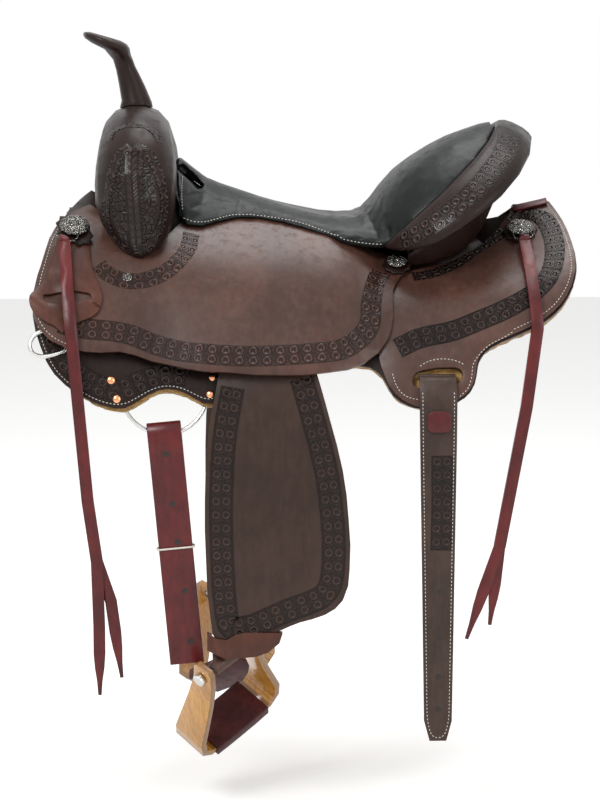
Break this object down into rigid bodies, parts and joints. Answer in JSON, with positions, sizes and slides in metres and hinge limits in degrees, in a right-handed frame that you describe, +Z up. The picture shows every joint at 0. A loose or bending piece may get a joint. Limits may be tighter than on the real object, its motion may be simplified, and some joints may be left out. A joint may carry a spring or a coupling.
{
  "type": "trail saddle",
  "caption": "Western trail saddle: tooled leather over a wooden tree, padded seat, in-skirt rigging ring, fenders on swinging leathers and bent-wood stirrups.",
  "frame": {"origin": "on the middle plane, 20 mm under the ridge line of the leathers at mid-seat, above the horse's spine", "axes": "+Z up; -X towards the horn, the horse's head; +X towards the cantle; -Y the near (left) side; the middle plane is Y = 0"},
  "size_m": [0.6531, 0.4858, 0.8688],
  "materials": {
    "brown_leather": "smooth vegetable-tanned leather, dark brown, tooled borders",
    "dark_brown_leather": "tooled leather, very dark brown",
    "black_leather": "soft black leather",
    "burgundy_latigo": "burgundy latigo leather",
    "russet_leather": "reddish brown skirting leather",
    "fleece": "woolly golden fleece",
    "laminated_oak": "laminated bent wood, clear varnish",
    "raw_wood": "unfinished wood of the tree",
    "stainless_steel": "polished stainless steel",
    "antique_silver": "silver coloured metal, darkened in its recesses",
    "white_cord": "white cotton string"
  },
  "bodies": {
    "saddle": {"breast_dee_near": "stainless_steel", "breast_dee_off": "stainless_steel", "cantle_cover": "brown_leather", "cantle_roll": "dark_brown_leather", "concho_front_near": "antique_silver", "concho_front_off": "antique_silver", "concho_middle_near": "antique_silver", "concho_middle_off": "antique_silver", "concho_rear_near": "antique_silver", "concho_rear_off": "antique_silver", "fleece_near": "fleece", "fleece_off": "fleece", "ground_seat": "russet_leather", "horn_core": "stainless_steel", "horn_wrap": "dark_brown_leather", "jockey_screw_near": "antique_silver", "jockey_screw_off": "antique_silver", "latigo_keeper": "russet_leather", "leather_hanger_near": "brown_leather", "leather_hanger_off": "brown_leather", "rear_housing_near": "brown_leather", "rear_housing_off": "brown_leather", "rigging_ring_near": "stainless_steel", "rigging_ring_off": "stainless_steel", "rosette_front_near": "brown_leather", "rosette_front_off": "brown_leather", "rosette_middle_near": "brown_leather", "rosette_middle_off": "brown_leather", "rosette_rear_near": "brown_leather", "rosette_rear_off": "brown_leather", "seat": "black_leather", "seat_jockey_near": "brown_leather", "seat_jockey_off": "brown_leather", "skirt_lace": "burgundy_latigo", "skirt_near": "dark_brown_leather", "skirt_off": "dark_brown_leather", "swell_cover": "dark_brown_leather", "tree_bar_near": "raw_wood", "tree_bar_off": "raw_wood", "tree_cantle": "raw_wood", "tree_fork": "raw_wood"},
    "fender_near": {"fender_near": "brown_leather", "stirrup_leather_near": "brown_leather", "hobble_strap_near": "russet_leather", "stirrup_bolt_near": "stainless_steel"},
    "stirrup_near": {"stirrup_near": "laminated_oak", "tread_cover_near": "burgundy_latigo"},
    "fender_off": {"fender_off": "brown_leather", "stirrup_leather_off": "brown_leather", "hobble_strap_off": "russet_leather", "stirrup_bolt_off": "stainless_steel"},
    "stirrup_off": {"stirrup_off": "laminated_oak", "tread_cover_off": "burgundy_latigo"},
    "latigo": {"latigo": "burgundy_latigo", "latigo_tie": "white_cord"},
    "flank_billet": {"flank_billet_near": "black_leather", "billet_lace_near": "burgundy_latigo"},
    "front_string": {"saddle_string_front_near": "burgundy_latigo"},
    "rear_string": {"saddle_string_rear_near": "burgundy_latigo"}
  },
  "joints": [
    {"name": "fender_swing_near", "type": "hinge", "parent": "saddle", "child": "fender_near", "pos_m": [-0.0635, -0.15752, -0.06403], "axis": [0, -0.9962, 0.0872], "range_deg": [-1, 12]},
    {"name": "fender_swing_off", "type": "hinge", "parent": "saddle", "child": "fender_off", "pos_m": [-0.0635, 0.15752, -0.06403], "axis": [0, -0.9962, -0.0872], "range_deg": [-1, 12]},
    {"name": "stirrup_turn_near", "type": "hinge", "parent": "fender_near", "child": "stirrup_near", "pos_m": [-0.0927, -0.2027, -0.4725], "axis": [0.7236, 0.5457, 0.4227], "range_deg": [-25, 25]},
    {"name": "stirrup_turn_off", "type": "hinge", "parent": "fender_off", "child": "stirrup_off", "pos_m": [-0.0927, 0.2027, -0.4725], "axis": [-0.7236, 0.5457, -0.4227], "range_deg": [-25, 25]},
    {"name": "latigo_swing", "type": "hinge", "parent": "saddle", "child": "latigo", "pos_m": [-0.1657, -0.19886, -0.20414], "axis": [-0.9959, 0, -0.0906], "range_deg": [-10, 2]},
    {"name": "flank_billet_swing", "type": "hinge", "parent": "saddle", "child": "flank_billet", "pos_m": [0.155, -0.1887, -0.13935], "axis": [-1, 0, 0], "range_deg": [0, 70]},
    {"name": "front_string_swing", "type": "hinge", "parent": "saddle", "child": "front_string", "pos_m": [-0.28265, -0.14961, 0.02177], "axis": [-0.9153, 0.2732, 0.2959], "range_deg": [0, 60]},
    {"name": "rear_string_swing", "type": "hinge", "parent": "saddle", "child": "rear_string", "pos_m": [0.26841, -0.08548, 0.0164], "axis": [-0.9927, -0.065, -0.1017], "range_deg": [0, 60]}
  ]
}
